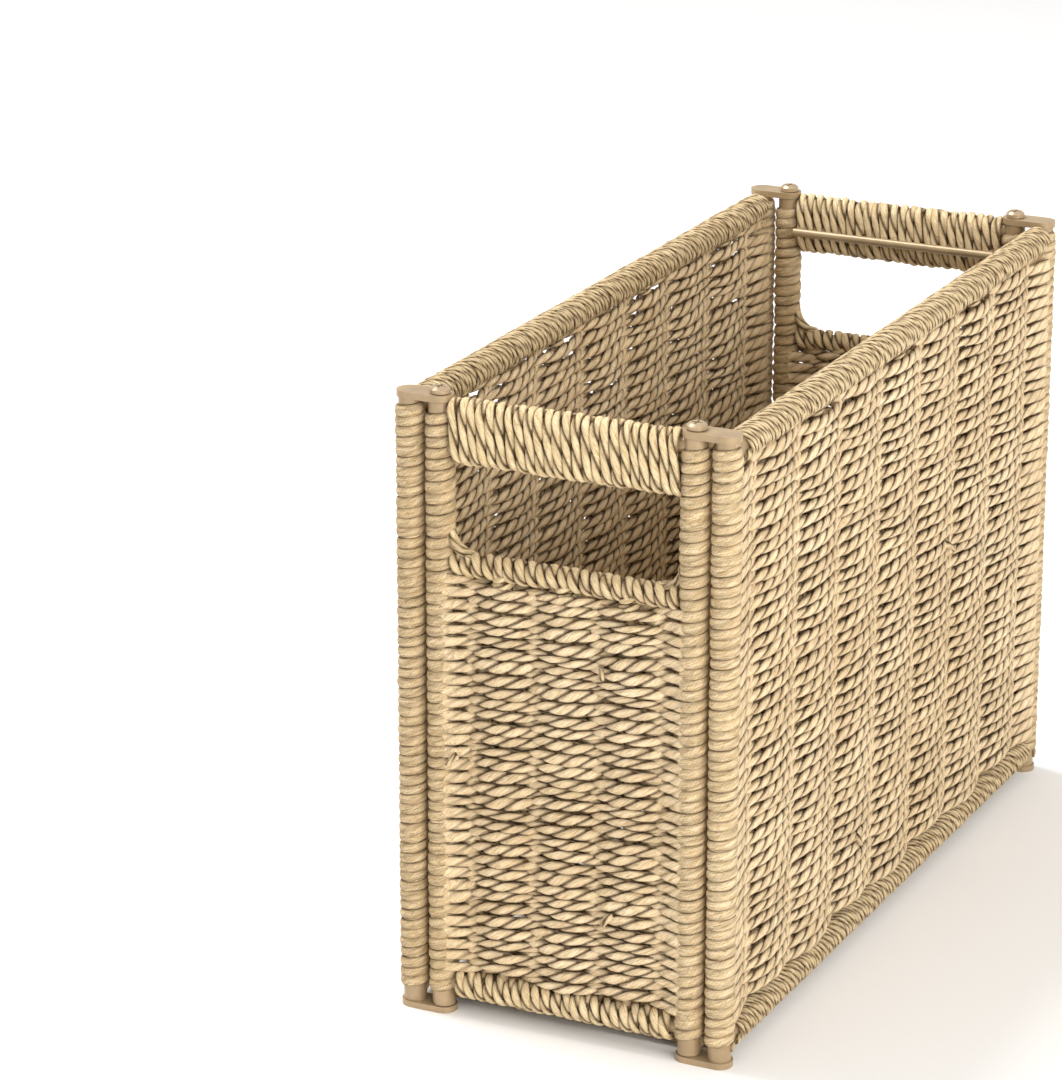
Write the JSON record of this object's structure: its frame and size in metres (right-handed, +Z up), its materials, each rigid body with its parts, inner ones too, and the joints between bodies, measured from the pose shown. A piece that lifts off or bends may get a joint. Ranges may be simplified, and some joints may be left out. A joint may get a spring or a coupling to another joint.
{
  "type": "hanging file rack",
  "caption": "Open folding rack of woven cord panels on a tube frame, with a handle at each end and wire rails inside for hanging file folders.",
  "frame": {"origin": "middle of the footprint, on the floor", "axes": "+X across the rack, +Y along the files from the front handle to the rear handle, +Z up"},
  "size_m": [0.1412, 0.348, 0.2527],
  "materials": {
    "frame_paint": "satin khaki paint",
    "screw": "satin khaki paint",
    "rail_wire": "satin khaki paint",
    "woven_cord": "matt twisted paper cord",
    "wound_cord": "matt twisted paper cord",
    "mat_cord": "matt twisted paper cord"
  },
  "bodies": {
    "left_side": {"left_front_post": "frame_paint", "left_rear_post": "frame_paint", "left_rim_tube": "frame_paint", "left_bottom_rail": "frame_paint", "left_stakes": "frame_paint", "left_weave": "woven_cord", "left_rim_wrap": "wound_cord", "left_bottom_wrap": "wound_cord", "left_front_post_wrap": "wound_cord", "left_rear_post_wrap": "wound_cord", "left_front_top_link": "frame_paint", "left_front_bottom_link": "frame_paint", "left_rear_top_link": "frame_paint", "left_rear_bottom_link": "frame_paint", "base_mat": "mat_cord"},
    "front_end": {"front_left_post": "frame_paint", "front_right_post": "frame_paint", "front_upper_bar": "frame_paint", "front_lower_bar": "frame_paint", "front_hole_rod": "frame_paint", "front_bottom_rail": "frame_paint", "front_stakes": "frame_paint", "front_weave": "woven_cord", "front_handle_wrap": "wound_cord", "front_hole_wrap": "wound_cord", "front_bottom_wrap": "wound_cord", "front_left_post_wrap": "wound_cord", "front_right_post_wrap": "wound_cord", "front_file_rail": "rail_wire", "front_screws": "screw"},
    "rear_end": {"rear_left_post": "frame_paint", "rear_right_post": "frame_paint", "rear_upper_bar": "frame_paint", "rear_lower_bar": "frame_paint", "rear_hole_rod": "frame_paint", "rear_bottom_rail": "frame_paint", "rear_stakes": "frame_paint", "rear_weave": "woven_cord", "rear_handle_wrap": "wound_cord", "rear_hole_wrap": "wound_cord", "rear_bottom_wrap": "wound_cord", "rear_left_post_wrap": "wound_cord", "rear_right_post_wrap": "wound_cord", "rear_file_rail": "rail_wire", "rear_screws": "screw"},
    "right_side": {"right_front_post": "frame_paint", "right_rear_post": "frame_paint", "right_rim_tube": "frame_paint", "right_bottom_rail": "frame_paint", "right_stakes": "frame_paint", "right_weave": "woven_cord", "right_rim_wrap": "wound_cord", "right_bottom_wrap": "wound_cord", "right_front_post_wrap": "wound_cord", "right_rear_post_wrap": "wound_cord", "right_front_top_link": "frame_paint", "right_front_bottom_link": "frame_paint", "right_rear_top_link": "frame_paint", "right_rear_bottom_link": "frame_paint"}
  },
  "joints": [
    {"name": "front_end_fold", "type": "hinge", "parent": "left_side", "child": "front_end", "pos_m": [-0.052, -0.168, 0], "axis": [0, 0, 1], "range_deg": [0, 85], "deforming": ["base_mat"]},
    {"name": "rear_end_fold", "type": "hinge", "parent": "left_side", "child": "rear_end", "pos_m": [-0.052, 0.168, 0], "axis": [0, 0, 1], "range_deg": [0, 85]},
    {"name": "right_side_fold", "type": "hinge", "parent": "front_end", "child": "right_side", "pos_m": [0.052, -0.168, 0], "axis": [0, 0, 1], "range_deg": [-85, 0]}
  ],
  "couplings": [
    {"joint": "rear_end_fold", "follows": "front_end_fold", "ratio": 1},
    {"joint": "right_side_fold", "follows": "front_end_fold", "ratio": -1}
  ]
}
